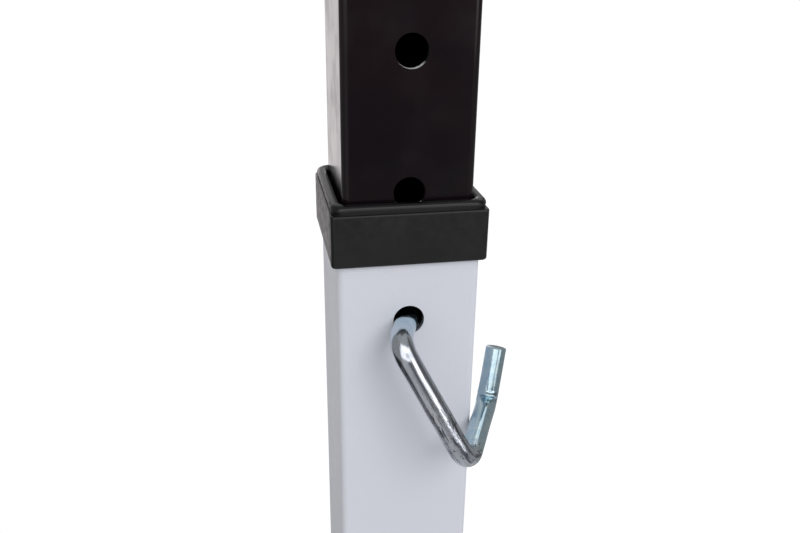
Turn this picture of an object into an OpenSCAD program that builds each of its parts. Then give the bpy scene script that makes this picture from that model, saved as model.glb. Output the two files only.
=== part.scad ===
/* [Net] */
// Width of the mesh between the side bands
mesh_w = 4200; // [3000:100:4200]
// Height of the mesh between the top and bottom bands
mesh_h = 700; // [500:100:700]
// Side of one square of the mesh, from cord centre to cord centre
mesh_pitch = 100; // [100:10:150]
// Thickness of the mesh cord
cord_d = 3; // [2:0.5:5]
// Height of the tape along the top of the net
top_band_h = 70; // [50:5:100]
// Height of the tape along the bottom of the net
bottom_band_h = 50; // [40:5:80]
// Width of the tape down each side of the net
side_band_w = 50; // [40:5:80]
// Thickness of the folded tape
band_t = 4; // [3:0.5:6]
// Diameter of the dowel that keeps each side of the net straight
dowel_d = 12; // [8:1:14]
// Distance of the dowel's ends inside its sleeve
dowel_in = 2; // [1:0.5:10]
// Wall of the sleeve sewn round each dowel
sleeve_wall = 2.2; // [1.5:0.1:3]
// Height of the top edge of the net above the floor
net_top_z = 2240; // [2200:10:2400]

/* [Straps and rings] */
// Width of the webbing
web_w = 25; // [20:1:30]
// Thickness of the webbing
web_t = 1.6; // [1.2:0.1:2.5]
// Distance between the ring on the net and the loop on the mast
strap_span = 95; // [80:5:160]
// Diameter of the wire of the net's rings
ring_wire_d = 4; // [3:0.5:6]
// Length of each ring along the net, from limb to limb
ring_len = 18; // [16:1:26]
// Length of the sewn tab that holds a ring
tab_len = 10; // [8:1:16]
// Diameter of the rod of the welded loops on the masts
loop_rod_d = 8; // [6:0.5:10]
// Distance of a loop's limb from the mast
loop_reach = 26; // [24:1:36]
// Length of the strap buckle
buckle_len = 34; // [30:1:44]
// Wall of the strap buckle
buckle_wall = 2.4; // [2:0.1:3]
// Room between an edge of the webbing and a ring
ring_room = 1.5; // [1:0.5:4]
// Room between an edge of the webbing and a loop's leg
loop_room = 2.5; // [2:0.5:6]

/* [Telescopic post] */
// Width of the square outer tube
outer_w = 50; // [48:1:60]
// Wall of the outer tube
outer_wall = 2; // [1.5:0.1:2.2]
// Width of the square mast that slides inside
mast_w = 45; // [40:1:45]
// Wall of the mast
mast_wall = 2; // [1.5:0.1:3]
// Outer corner radius of the square tubes
tube_r = 2.5; // [2.5:0.1:4]
// Height of the lock hole above the floor
lock_z = 950; // [900:10:1000]
// Distance between the holes of the mast
hole_pitch = 46; // [40:1:50]
// Diameter of the lock holes
hole_d = 11; // [11:0.1:13]
// Holes above the lock hole, for lowering the net
holes_down = 8; // [4:1:8]
// Holes below the lock hole, for raising the net
holes_up = 4; // [2:1:4]
// Length of the mast below its lowest hole
mast_tail = 160; // [140:5:180]
// Length of the mast above the top edge of the net
mast_over = 60; // [50:5:120]

/* [Collar] */
// Wall of the collar outside the tube
collar_wall = 2; // [1.5:0.1:4]
// Height of the collar
collar_h = 21.8; // [18:0.1:30]
// Thickness of the collar over the end of the tube
collar_top = 3; // [2:0.1:4]
// Distance from the lock hole up to the top of the collar
collar_over = 43.5; // [36:0.5:48]
// Radius of the collar's upright corners
collar_r = 1.5; // [0.8:0.1:2.4]
// Height of the round bead along the mouth of the collar
rim_h = 3.2; // [2.6:0.1:4]
// Step from the collar's side in to the bead
rim_step = 0.35; // [0.2:0.05:0.6]
// Corner radius of the bead
rim_corner = 4.5; // [4.2:0.1:6]

/* [Lock pin] */
// Diameter of the lock pin rod
pin_d = 8; // [6:0.1:8]
// Centre line radius of the two wide bends
pin_bend_r = 7; // [4.5:0.5:10]
// Length of the shank in front of the tube, to the corner of the bend
pin_out = 16; // [14:0.5:20]
// Length of the shank inside the tubes
pin_in = 30; // [20:1:32]
// Length of the handle leg between the two corners
pin_leg = 52; // [50:0.5:60]
// Length of the run beside the tube between its two corners
pin_run = 38; // [36:0.5:50]
// Turn of the run outwards, about the leg
run_turn = 6.7; // [4:0.1:9]
// Length of the upturned end, from its corner
hook_len = 22.3; // [16:0.1:24]
// Angle by which the end is bent up out of the run
hook_bend = 68; // [50:1:80]
// Lean of the upturned end outwards, about the run
hook_turn = 33; // [28:0.5:45]
// Centre line radius of the tight bend under the upturned end
hook_r = 4.5; // [4.2:0.1:6]
// How far a turned stretch of the rod starts inside the one before
joint_lap = 0.05; // [0.02:0.01:0.1]
// How much slimmer in radius each turned stretch starts
joint_step = 0.02; // [0.01:0.01:0.05]
// Angle of the shank to the square of the tube
pin_skew = 20.6; // [18:0.1:24]
// Angle by which the leg hangs outwards
pin_swing = 29; // [28.5:0.1:40]
// Drop of the shank below the middle of the hole it rests in
pin_drop = 0.8; // [0:0.1:0.8]

/* [Plugs] */
// Height of the cover of a rail cap
rail_cap_h = 4; // [3:0.5:8]
// Length of a rail cap inside the rail
rail_cap_in = 18; // [12:1:30]
// Height of the cover of the mast cap
mast_cap_h = 5; // [3:0.5:8]
// Length of the mast cap inside the mast
mast_cap_in = 20; // [12:1:30]
// Edge cut back round the top of a cover
cover_edge = 0.8; // [0.4:0.1:1.2]
// Thickness of the ribs round a plug
rib_t = 1.6; // [1.2:0.1:2.5]
// Height of the ribs round a plug
rib_h = 1.5; // [1:0.1:2]
// Height of the glide under the foot of the mast
glide_h = 4; // [3:0.5:8]
// Length of the glide inside the mast
glide_in = 22; // [12:1:30]

/* [Base] */
// Width of the square base rails
rail_w = 50; // [40:1:60]
// Wall of the base rails
rail_wall = 2; // [1.5:0.1:3]
// Length of the rail across the net line
cross_len = 840; // [700:10:1000]
// Length of the rail under the net
foot_len = 760; // [640:10:900]
// Height of the rubber feet
foot_h = 14; // [13:0.5:20]
// Length of a rubber foot
foot_pad = 60; // [50:1:80]
// Width of a rubber foot
foot_w = 44; // [38:1:48]
// Distance of a rubber foot from the end of its rail
foot_in = 8; // [4:1:20]
// Height of the tread under a rubber foot
tread_h = 1.5; // [1:0.1:3]
// Distance between the ribs of the tread
tread_gap = 2.5; // [2:0.1:4]
// Thickness of the flange that joins the two rails
flange_t = 6; // [5:0.5:10]
// Distance of the flange bolts from the middle of the rail
flange_bolt_y = 38; // [37:1:44]
// Diameter of the ground peg holes
peg_d = 12; // [10:0.5:14]
// Distance of the ground peg holes from the ends of the rail
peg_in = 110; // [90:5:150]
// Thickness of the plate under the post socket
plate_t = 6; // [5:0.5:10]
// Height of the post socket
socket_h = 120; // [100:5:140]
// Wall of the post socket
socket_wall = 4.5; // [3:0.5:6]
// Distance of the socket's plate bolts from the middle of the rail
plate_bolt_y = 60; // [58:1:70]
// Height of the brace's upper pivot above the floor
brace_z = 520; // [450:10:560]
// Distance of the brace's lower pivot from the post
brace_run = 420; // [360:10:480]
// Diameter of the brace tube
brace_d = 26; // [20:1:30]
// Thickness of the brace's flattened ends
tongue_t = 8; // [6:0.5:10]
// Thickness of the welded ears
ear_t = 5; // [4:0.5:8]
// Distance of the ears' pivot from the tube that they are welded to
ear_reach = 28; // [26:1:36]
// Length of the brace's flattening from the ears to the round tube
brace_flat = 12; // [10:1:20]
// Diameter of the bolts
bolt_d = 10; // [8:1:10]
// Metal left beyond a bolt head
bolt_edge = 5; // [3:0.5:8]

/* [Fits] */
// Gap between the collar and the outer tube
collar_gap = 0.1; // [0.1:0.05:0.3]
// Gap between the mast and the mouth of the collar
mouth_gap = 0.5; // [0.4:0.05:0.8]
// Gap between the mast's glide and the outer tube
glide_gap = 0.3; // [0.2:0.05:0.4]
// Gap between a pushed-in plug and its tube
plug_gap = 0.15; // [0.1:0.05:0.3]
// Gap between soft loops and what they go round
loop_gap = 0.3; // [0.2:0.05:0.5]
// Gap between a bolt and its hole
bolt_gap = 0.4; // [0.3:0.05:0.6]
// Gap between the outer tube and its socket
socket_gap = 0.25; // [0.2:0.05:0.4]

/* [Hidden] */
$fn = 48;
e = 0.01;

inner_w = outer_w - 2 * outer_wall;
mast_in_w = mast_w - 2 * mast_wall;
mast_r = min(tube_r, mast_wall + 0.5);

net_half = mesh_w / 2;
net_h = mesh_h + top_band_h + bottom_band_h;
net_bottom_z = net_top_z - net_h;
mesh_z = net_bottom_z + bottom_band_h;
side_out = net_half + side_band_w;
sleeve_ri = dowel_d / 2 + loop_gap;
sleeve_ro = sleeve_ri + sleeve_wall;
sleeve_x = side_out - sleeve_ro;
strap_z = [net_top_z - top_band_h / 2, net_bottom_z + bottom_band_h / 2];

ring_x1 = side_out + tab_len;
ring_x2 = ring_x1 + ring_len;
ring_half = web_w / 2 + ring_wire_d / 2 + ring_room;
ring_bend = ring_wire_d;
loop_x = ring_x2 + strap_span;
loop_half = web_w / 2 + loop_rod_d / 2 + loop_room;
loop_bend = loop_rod_d;
mast_face_x = loop_x + loop_reach;
post_x = mast_face_x + mast_w / 2;
strap_ri = loop_rod_d / 2 + loop_gap;
strap_x1 = ring_x2 + strap_ri - ring_wire_d / 2 - loop_gap;

rail_z = foot_h;
rail_top = rail_z + rail_w;
rail_mid = rail_z + rail_w / 2;
tube_z = rail_top + plate_t;
tube_top = lock_z + collar_over - collar_top;
mast_bottom = lock_z - holes_up * hole_pitch - mast_tail;
mast_top = net_top_z + mast_over;

socket_in = outer_w + 2 * socket_gap;
socket_w = socket_in + 2 * socket_wall;
bolt_r = bolt_d / 2;
bolt_hole_r = bolt_r + bolt_gap;
head_r = bolt_d * 0.98;
head_h = bolt_d * 0.64;
nut_h = bolt_d * 0.8;
thread_over = bolt_d * 0.2;
thread_gap = 0.1;
plate_len = 2 * (plate_bolt_y + head_r + bolt_edge);
flange_len = 2 * (flange_bolt_y + head_r + bolt_edge);
cross_bolt_z = tube_z + socket_h / 2;
ear_r = bolt_d * 1.6;
ear_in = tongue_t / 2 + loop_gap;
ear_out = ear_in + ear_t;
tongue_r = ear_r - 1;
pivot_top = [-outer_w / 2 - ear_reach, brace_z];
pivot_low = [-brace_run, rail_top + ear_reach];
brace_dx = pivot_top[0] - pivot_low[0];
brace_dz = pivot_top[1] - pivot_low[1];
brace_len = norm([brace_dx, brace_dz]);
brace_tilt = atan2(brace_dx, brace_dz);
brace_clear = ear_r + brace_flat;
foot_end = -rail_w / 2 - foot_len;
foot_mid = foot_end + foot_pad / 2 + foot_in;
cross_pad_y = cross_len / 2 - foot_pad / 2 - foot_in;
peg_y = cross_len / 2 - peg_in;

// The rod crosses the middle of the hole half way through the two front walls.
pin_depth = (outer_wall + (inner_w - mast_w) / 2 + mast_wall) / 2;
pin_x = -pin_depth * tan(pin_skew);

// ---- shared shapes ----

module right() children();

module left() mirror([1, 0, 0]) children();

module at_post() translate([post_x, 0, 0]) children();

// Square with round corners, exact arcs
module soft_square(w, r) {
    square([w, w - 2 * r], center = true);
    square([w - 2 * r, w], center = true);
    for (x = [-1, 1], y = [-1, 1])
        translate([x * (w / 2 - r), y * (w / 2 - r)]) circle(r);
}

module square_tube(w, r, wall, h) {
    linear_extrude(h) difference() {
        soft_square(w, r);
        soft_square(w - 2 * wall, max(r - wall, 0.5));
    }
}

// Plug for the end of a tube: a rounded cover over a ribbed body, cover at z = 0 and up
module tube_plug(w, r, wall, cover_h, body_h) {
    body_w = w - 2 * wall - 2 * plug_gap;
    body_r = 0.8;
    linear_extrude(cover_h - cover_edge) soft_square(w, r);
    translate([0, 0, cover_h - cover_edge]) linear_extrude(cover_edge)
        soft_square(w - 2 * cover_edge, r - cover_edge);
    for (i = [0:2])
        translate([0, 0, -body_h + i * body_h / 3]) linear_extrude(rib_t) soft_square(body_w, body_r);
    translate([0, 0, -body_h]) linear_extrude(body_h) soft_square(body_w - 2 * rib_h, body_r);
}

// Hexagon bolt along -Z with its head seated at z = 0
module hex_bolt(grip) {
    cylinder(h = head_h - 1, r = head_r, $fn = 6);
    translate([0, 0, head_h - 1]) cylinder(h = 1, r = head_r * 0.85);
    translate([0, 0, -grip - nut_h - thread_over]) cylinder(h = grip + nut_h + thread_over, r = bolt_r);
}

// Nut for hex_bolt, seated on the far side of the grip
module hex_nut(grip) {
    translate([0, 0, -grip - nut_h]) difference() {
        cylinder(h = nut_h, r = head_r, $fn = 6);
        translate([0, 0, -1]) cylinder(h = nut_h + 2, r = bolt_r + thread_gap);
    }
}

// Rounded limb-and-legs outline of a rod in the XZ plane: limb at x = 0, legs towards +X
module rod_u(rod_r, half, bend, reach) {
    translate([0, 0, -half + bend]) cylinder(h = 2 * (half - bend), r = rod_r);
    for (s = [-1, 1]) {
        translate([bend, 0, s * (half - bend)]) rotate([90, 0, 0])
            rotate([0, 0, s > 0 ? 90 : 180]) rotate_extrude(angle = 90) translate([bend, 0]) circle(rod_r);
        translate([bend, 0, s * half]) rotate([0, 90, 0]) cylinder(h = reach - bend, r = rod_r);
    }
}

// Places each bolt of one base, with the head's seat at z = 0 and the length of its grip
module bolt_places(kind) {
    for (s = [-1, 1]) {
        translate([0, s * plate_bolt_y, tube_z]) fastener(kind, plate_t + rail_w);
        translate([-rail_w / 2 - flange_t, s * flange_bolt_y, rail_mid]) rotate([0, -90, 0])
            fastener(kind, flange_t + rail_w);
    }
    translate([0, -socket_w / 2, cross_bolt_z]) rotate([90, 0, 0]) fastener(kind, socket_w);
    for (p = [pivot_top, pivot_low])
        translate([p[0], -ear_out, p[1]]) rotate([90, 0, 0]) fastener(kind, 2 * ear_out);
}

module fastener(kind, grip) {
    if (kind == "bolt") hex_bolt(grip);
    if (kind == "nut") hex_nut(grip);
}

// Two welded ears that reach along +X from a tube's face at x = 0 to a pivot along Y
module ears() {
    for (s = [-1, 1])
        translate([0, s * (ear_in + ear_t / 2) + ear_t / 2, 0]) rotate([90, 0, 0]) linear_extrude(ear_t)
            difference() {
                union() {
                    translate([0, -ear_r]) square([ear_reach, 2 * ear_r]);
                    translate([ear_reach, 0]) circle(ear_r);
                }
                translate([ear_reach, 0]) circle(bolt_hole_r);
            }
}

// ---- base ----

module foot_rail() {
    color("white") at_post() difference() {
        union() {
            translate([foot_end, 0, rail_mid]) rotate([0, 90, 0])
                square_tube(rail_w, tube_r, rail_wall, foot_len - flange_t);
            translate([-rail_w / 2 - flange_t, -flange_len / 2, rail_z]) cube([flange_t, flange_len, rail_w]);
            translate([pivot_low[0], 0, rail_top]) rotate([0, -90, 0]) ears();
        }
        for (s = [-1, 1])
            translate([-rail_w / 2 - flange_t - 1, s * flange_bolt_y, rail_mid]) rotate([0, 90, 0])
                cylinder(h = flange_t + 2, r = bolt_hole_r);
    }
}

module cross_rail() {
    color("white") at_post() difference() {
        translate([0, cross_len / 2, rail_mid]) rotate([90, 0, 0])
            square_tube(rail_w, tube_r, rail_wall, cross_len);
        for (s = [-1, 1]) {
            translate([0, s * plate_bolt_y, rail_z - 1]) cylinder(h = rail_w + 2, r = bolt_hole_r);
            translate([0, s * peg_y, rail_z - 1]) cylinder(h = rail_w + 2, r = peg_d / 2);
            translate([-rail_w / 2 - 1, s * flange_bolt_y, rail_mid]) rotate([0, 90, 0])
                cylinder(h = rail_w + 2, r = bolt_hole_r);
        }
    }
}

module post_socket() {
    color("white") at_post() translate([0, 0, rail_top]) difference() {
        union() {
            translate([-rail_w / 2, -plate_len / 2, 0]) cube([rail_w, plate_len, plate_t]);
            translate([0, 0, plate_t - e]) linear_extrude(socket_h + e) difference() {
                soft_square(socket_w, tube_r + socket_wall);
                soft_square(socket_in, tube_r + socket_gap);
            }
        }
        for (s = [-1, 1])
            translate([0, s * plate_bolt_y, -1]) cylinder(h = plate_t + 2, r = bolt_hole_r);
        translate([0, socket_w / 2 + 1, plate_t + socket_h / 2]) rotate([90, 0, 0])
            cylinder(h = socket_w + 2, r = bolt_hole_r);
    }
}

module brace() {
    color("white") at_post() translate([pivot_low[0], 0, pivot_low[1]]) rotate([0, brace_tilt, 0]) {
        translate([0, 0, brace_clear]) cylinder(h = brace_len - 2 * brace_clear, d = brace_d);
        for (end = [0, 1])
            translate([0, 0, end * brace_len]) rotate([end * 180, 0, 0]) rotate([90, 0, 0])
                translate([0, 0, -tongue_t / 2]) linear_extrude(tongue_t) difference() {
                    union() {
                        circle(tongue_r);
                        translate([-tongue_r, 0]) square([2 * tongue_r, brace_clear - brace_flat / 2]);
                        translate([-brace_d / 2 + 1, 0]) square([brace_d - 2, brace_clear + brace_flat / 2]);
                    }
                    circle(bolt_hole_r);
                }
    }
}

module rail_caps() {
    color("#1c1c1e") at_post() {
        for (s = [-1, 1])
            translate([0, s * cross_len / 2, rail_mid]) rotate([-s * 90, 0, 0])
                tube_plug(rail_w, tube_r, rail_wall, rail_cap_h, rail_cap_in);
        translate([foot_end, 0, rail_mid]) rotate([0, -90, 0])
            tube_plug(rail_w, tube_r, rail_wall, rail_cap_h, rail_cap_in);
    }
}

// A block on a tread of five ribs
module rubber_foot() {
    ribs = 5;
    pitch = (foot_pad - tread_gap) / ribs;
    translate([-foot_pad / 2, -foot_w / 2, tread_h]) cube([foot_pad, foot_w, foot_h - tread_h]);
    for (i = [0:ribs - 1])
        translate([-foot_pad / 2 + tread_gap + i * pitch, -foot_w / 2 + tread_gap, 0])
            cube([pitch - tread_gap, foot_w - 2 * tread_gap, tread_h + e]);
}

module rubber_feet() {
    color("#141414") at_post() {
        for (s = [-1, 1])
            translate([0, s * cross_pad_y, 0]) rotate([0, 0, 90]) rubber_foot();
        translate([foot_mid, 0, 0]) rubber_foot();
    }
}

module bolts() color("silver") at_post() bolt_places("bolt");

module nuts() color("silver") at_post() bolt_places("nut");

// ---- telescopic post ----

module outer_tube() {
    color("#e9e9ee") at_post() difference() {
        union() {
            translate([0, 0, tube_z]) square_tube(outer_w, tube_r, outer_wall, tube_top - tube_z);
            translate([-outer_w / 2, 0, brace_z]) rotate([0, 0, 180]) ears();
        }
        translate([0, 0, lock_z]) rotate([90, 0, 0]) cylinder(h = outer_w, d = hole_d);
        translate([0, outer_w / 2 + 1, cross_bolt_z]) rotate([90, 0, 0])
            cylinder(h = outer_w + 2, r = bolt_hole_r);
    }
}

// Section of the bead: an upright strip with a half-round top
module rim_profile(width) {
    square([width, rim_h - width / 2]);
    translate([width / 2, rim_h - width / 2]) circle(width / 2);
}

// The bead round a square mouth, its outer face at half from the middle
module rim(half, width) {
    mid = half - rim_corner;
    for (k = [0:3]) rotate([0, 0, 90 * k]) {
        translate([half - width, mid, 0]) rotate([90, 0, 0]) linear_extrude(2 * mid) rim_profile(width);
        translate([mid, mid, 0]) rotate_extrude(angle = 90) translate([rim_corner - width, 0])
            rim_profile(width);
    }
}

// Cap over the end of the outer tube, with a beaded square mouth for the mast
module collar() {
    shell_w = outer_w + 2 * collar_wall;
    mouth_w = mast_w + 2 * mouth_gap;
    rim_half = shell_w / 2 - rim_step;
    color("#18181a") at_post() translate([0, 0, lock_z + collar_over - collar_h]) difference() {
        union() {
            linear_extrude(collar_h - rim_h) soft_square(shell_w, collar_r);
            translate([0, 0, collar_h - rim_h - e]) rim(rim_half, rim_half - mouth_w / 2);
        }
        translate([0, 0, -1]) linear_extrude(collar_h - collar_top + 1)
            soft_square(outer_w + 2 * collar_gap, tube_r + collar_gap);
        linear_extrude(collar_h + 1) soft_square(mouth_w, mast_r + mouth_gap);
    }
}

module mast() {
    color("#151214") at_post() difference() {
        translate([0, 0, mast_bottom]) square_tube(mast_w, mast_r, mast_wall, mast_top - mast_bottom);
        for (k = [-holes_up:holes_down])
            translate([0, 0, lock_z + k * hole_pitch]) rotate([90, 0, 0]) cylinder(h = mast_w, d = hole_d);
    }
}

// Plug in the foot of the mast, a little wider than the mast so that it runs in the outer tube
module mast_glide() {
    color("#2a2a2c") at_post() translate([0, 0, mast_bottom]) {
        translate([0, 0, -glide_h]) linear_extrude(glide_h) soft_square(inner_w - 2 * glide_gap, mast_r);
        linear_extrude(glide_in) soft_square(mast_in_w - 2 * plug_gap, 1);
    }
}

module mast_cap() {
    color("#18181a") at_post() translate([0, 0, mast_top])
        tube_plug(mast_w, mast_r, mast_wall, mast_cap_h, mast_cap_in);
}

// Bent rod: shank along +Y with its corner at the origin, leg down, run back, end turned up.
// Where the rod is turned out of its plane, the next stretch starts joint_lap inside the last and joint_step slimmer.
module bent_rod() {
    r = pin_d / 2;
    b = pin_bend_r;
    t = hook_r * tan(hook_bend / 2);
    shank = pin_out + pin_in;
    tip = 1;
    translate([0, b, 0]) rotate([-90, 0, 0]) cylinder(h = shank - b - tip, r = r);
    translate([0, shank - tip, 0]) rotate([-90, 0, 0]) cylinder(h = tip, r1 = r, r2 = r - 0.8 * tip);
    translate([0, b, -b]) rotate([90, 0, -90]) rotate_extrude(angle = 90) translate([b, 0]) circle(r);
    translate([0, 0, -pin_leg + b]) cylinder(h = pin_leg - 2 * b, r = r);
    translate([0, 0, -pin_leg + joint_lap]) rotate([0, 0, -run_turn]) {
        translate([0, b, b]) rotate([-90, 0, -90])
            rotate_extrude(angle = 90) translate([b, 0]) circle(r - joint_step);
        translate([0, b, 0]) rotate([-90, 0, 0]) cylinder(h = pin_run - b - t, r = r - joint_step);
        translate([0, pin_run - t - joint_lap, 0]) rotate([0, hook_turn, 0]) translate([0, 0, hook_r]) {
            rotate([0, 90, 0])
                rotate_extrude(angle = hook_bend) translate([hook_r, 0]) circle(r - 2 * joint_step);
            rotate([hook_bend, 0, 0]) translate([0, -joint_lap, -hook_r]) rotate([-90, 0, 0])
                cylinder(h = hook_len - t + joint_lap, r = r - 3 * joint_step);
        }
    }
}

module lock_pin() {
    color("#cdd2d6") at_post() translate([pin_x, -outer_w / 2, lock_z - pin_drop])
        rotate([0, 0, -pin_skew]) translate([0, -pin_out, 0]) rotate([0, -pin_swing, 0]) bent_rod();
}

// ---- net and what holds it ----

// Welded rod loops on the inner face of the mast
module strap_loops() {
    color("silver") for (z = strap_z)
        translate([loop_x, 0, z]) rod_u(loop_rod_d / 2, loop_half, loop_bend, loop_reach);
}

module stadium(x1, x2, r) {
    translate([x1, -r]) square([x2 - x1, 2 * r]);
    for (x = [x1, x2]) translate([x, 0]) circle(r);
}

module straps() {
    color("#202226") for (z = strap_z)
        translate([0, 0, z - web_w / 2]) linear_extrude(web_w) difference() {
            stadium(strap_x1, loop_x, strap_ri + web_t);
            stadium(strap_x1, loop_x, strap_ri);
        }
}

// Ladder buckle round the front run of the strap
module buckles() {
    slot = web_t + 2 * loop_gap;
    mid = (strap_x1 + loop_x) / 2;
    tall = web_w + 2 * loop_gap + 2 * buckle_wall;
    deep = slot + 2 * buckle_wall;
    y0 = -strap_ri - web_t - loop_gap - buckle_wall;
    // Three openings in the front, parted by bars
    open = buckle_len * 0.2;
    bar = (buckle_len - 3 * open) / 4;
    color("#111214") for (z = strap_z)
        translate([mid - buckle_len / 2, y0, z - tall / 2]) difference() {
            cube([buckle_len, deep, tall]);
            translate([-1, buckle_wall, buckle_wall]) cube([buckle_len + 2, slot, tall - 2 * buckle_wall]);
            for (i = [0:2])
                translate([bar + i * (open + bar), -1, buckle_wall + 1])
                    cube([open, buckle_wall + 1 + e, tall - 2 * buckle_wall - 2]);
        }
}

// Four-sided wire rings between the net's tabs and the straps
module rings() {
    color("silver") for (z = strap_z) translate([0, 0, z]) {
        translate([ring_x1, 0, 0]) rod_u(ring_wire_d / 2, ring_half, ring_bend, ring_len / 2);
        translate([ring_x2, 0, 0]) mirror([1, 0, 0])
            rod_u(ring_wire_d / 2, ring_half, ring_bend, ring_len / 2);
    }
}

module side_band() {
    tab_ri = ring_wire_d / 2 + loop_gap;
    tab_ro = tab_ri + web_t;
    color("#f2f2f0") {
        translate([0, 0, net_bottom_z]) linear_extrude(net_h) difference() {
            union() {
                translate([net_half, -band_t / 2]) square([side_band_w - sleeve_ro, band_t]);
                translate([sleeve_x, 0]) circle(sleeve_ro);
            }
            translate([sleeve_x, 0]) circle(sleeve_ri);
        }
        for (z = strap_z)
            translate([0, 0, z - web_w / 2]) linear_extrude(web_w) difference() {
                union() {
                    polygon([[side_out - sleeve_wall / 2, -tab_ro], [ring_x1, -tab_ro],
                        [ring_x1, tab_ro], [side_out - sleeve_wall / 2, tab_ro]]);
                    translate([ring_x1, 0]) circle(tab_ro);
                }
                translate([ring_x1, 0]) circle(tab_ri);
                translate([sleeve_x, 0]) circle(sleeve_ri);
            }
    }
}

module dowel() {
    color("#d8cfa8") translate([sleeve_x, 0, net_bottom_z + dowel_in])
        cylinder(h = net_h - 2 * dowel_in, d = dowel_d);
}

// Flat net of square gaps
module net_mesh() {
    cols = floor(mesh_w / mesh_pitch + e);
    rows = floor(mesh_h / mesh_pitch + e);
    px = mesh_w / cols;
    pz = mesh_h / rows;
    color("#1a1a1a") translate([0, cord_d / 2, mesh_z]) rotate([90, 0, 0]) linear_extrude(cord_d) difference() {
        translate([-net_half, 0]) square([mesh_w, mesh_h]);
        for (i = [0:cols - 1], j = [0:rows - 1])
            translate([-net_half + i * px + cord_d / 2, j * pz + cord_d / 2]) square([px - cord_d, pz - cord_d]);
    }
}

// Folded tape along the net, with its fold at v = h
module tape_profile(h) {
    translate([-band_t / 2, 0]) square([band_t, h - band_t / 2]);
    translate([0, h - band_t / 2]) circle(band_t / 2);
}

module top_band() {
    color("#f2f2f0") translate([-net_half, 0, net_top_z - top_band_h]) rotate([90, 0, 90])
        linear_extrude(mesh_w) tape_profile(top_band_h);
}

module bottom_band() {
    color("#f2f2f0") translate([-net_half, 0, net_bottom_z + bottom_band_h]) mirror([0, 0, 1])
        rotate([90, 0, 90]) linear_extrude(mesh_w) tape_profile(bottom_band_h);
}

left() foot_rail();  // left_foot_rail
left() cross_rail();  // left_cross_rail
left() post_socket();  // left_post_socket
left() brace();  // left_brace
left() outer_tube();  // left_outer_tube
left() collar();  // left_collar
left() mast();  // left_mast
left() mast_glide();  // left_mast_glide
left() mast_cap();  // left_mast_cap
left() lock_pin();  // left_lock_pin
left() rail_caps();  // left_rail_caps
left() rubber_feet();  // left_rubber_feet
left() bolts();  // left_bolts
left() nuts();  // left_nuts
left() strap_loops();  // left_strap_loops
left() straps();  // left_straps
left() buckles();  // left_buckles
left() rings();  // left_rings
left() side_band();  // left_side_band
left() dowel();  // left_dowel
right() foot_rail();  // right_foot_rail
right() cross_rail();  // right_cross_rail
right() post_socket();  // right_post_socket
right() brace();  // right_brace
right() outer_tube();  // right_outer_tube
right() collar();  // right_collar
right() mast();  // right_mast
right() mast_glide();  // right_mast_glide
right() mast_cap();  // right_mast_cap
right() lock_pin();  // right_lock_pin
right() rail_caps();  // right_rail_caps
right() rubber_feet();  // right_rubber_feet
right() bolts();  // right_bolts
right() nuts();  // right_nuts
right() strap_loops();  // right_strap_loops
right() straps();  // right_straps
right() buckles();  // right_buckles
right() rings();  // right_rings
right() side_band();  // right_side_band
right() dowel();  // right_dowel
net_mesh();
top_band();
bottom_band();
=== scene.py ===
import math
import random

import bmesh
import bpy
from mathutils import Matrix, Vector


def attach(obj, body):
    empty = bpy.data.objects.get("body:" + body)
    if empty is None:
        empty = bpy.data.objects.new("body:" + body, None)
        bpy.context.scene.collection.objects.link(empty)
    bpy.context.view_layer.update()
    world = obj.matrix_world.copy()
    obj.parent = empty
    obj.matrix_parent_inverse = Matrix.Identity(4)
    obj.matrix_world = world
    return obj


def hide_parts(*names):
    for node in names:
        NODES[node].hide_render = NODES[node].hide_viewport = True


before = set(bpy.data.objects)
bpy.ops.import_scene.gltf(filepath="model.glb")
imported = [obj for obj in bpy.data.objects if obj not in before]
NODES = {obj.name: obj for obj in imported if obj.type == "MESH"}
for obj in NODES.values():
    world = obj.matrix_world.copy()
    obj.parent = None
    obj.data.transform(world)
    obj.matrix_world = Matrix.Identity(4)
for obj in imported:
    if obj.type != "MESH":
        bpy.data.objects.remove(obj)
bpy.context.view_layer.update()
SIDES = {"left": -1, "right": 1}

# ---- sizes, in metres, as in the part's source ----
POST_X = 2.3215
LOCK_Z = 0.95
HOLE_PITCH = 0.046
HIGHEST_HOLE = LOCK_Z + 8 * HOLE_PITCH
HOLE_R = 0.0055
OUTER_W = 0.050
TUBE_R = 0.0025
COLLAR_TOP = 0.9935
COLLAR_BOTTOM = 0.9717
COLLAR_W = 0.054
BEAD_H, BEAD_STEP, BEAD_R = 0.0032, 0.00035, 0.0045
BODY_R, MOUTH_W, MOUTH_R, SEAT_W = 0.0015, 0.046, 0.003, 0.0502
CAP_T = 0.003

PIN_R, PIN_BEND, HOOK_R = 0.004, 0.007, 0.0045
PIN_SHANK, PIN_OUT, PIN_LEG, PIN_RUN, HOOK_LEN = 0.046, 0.016, 0.052, 0.038, 0.0223
PIN_X, PIN_DROP = -0.000846, 0.0008
PIN_SKEW, PIN_SWING, RUN_TURN, HOOK_BEND, HOOK_TURN = (math.radians(a) for a in (20.6, 29, 6.7, 68, 33))

NET_HALF, NET_LOW, NET_HIGH, PITCH = 2.1, 1.47, 2.17, 0.1
NET_TOP, NET_BOTTOM = 2.24, 1.42
CORD_R = 0.0015
SLEEVE_X, SLEEVE_R, SIDE_OUT = 2.1415, 0.0063, 2.15
PLY = 0.0009
STRAP_Z = (2.205, 1.445)
RING_X = (2.160, 2.178)
LOOP_X, WEB_W, WEB_T, STRAP_R = 2.273, 0.025, 0.0016, 0.0043
STRAP_X1 = 2.18

# ---- camera: the photograph's own view of the right post's joint ----
CAM_AT = Vector((2.2693, -0.2678, 1.0754))
CAM_YAW, CAM_PITCH, CAM_ROLL = math.radians(11.36), math.radians(22.92), math.radians(-0.81)
CAM_LENS = 35.42


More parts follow.
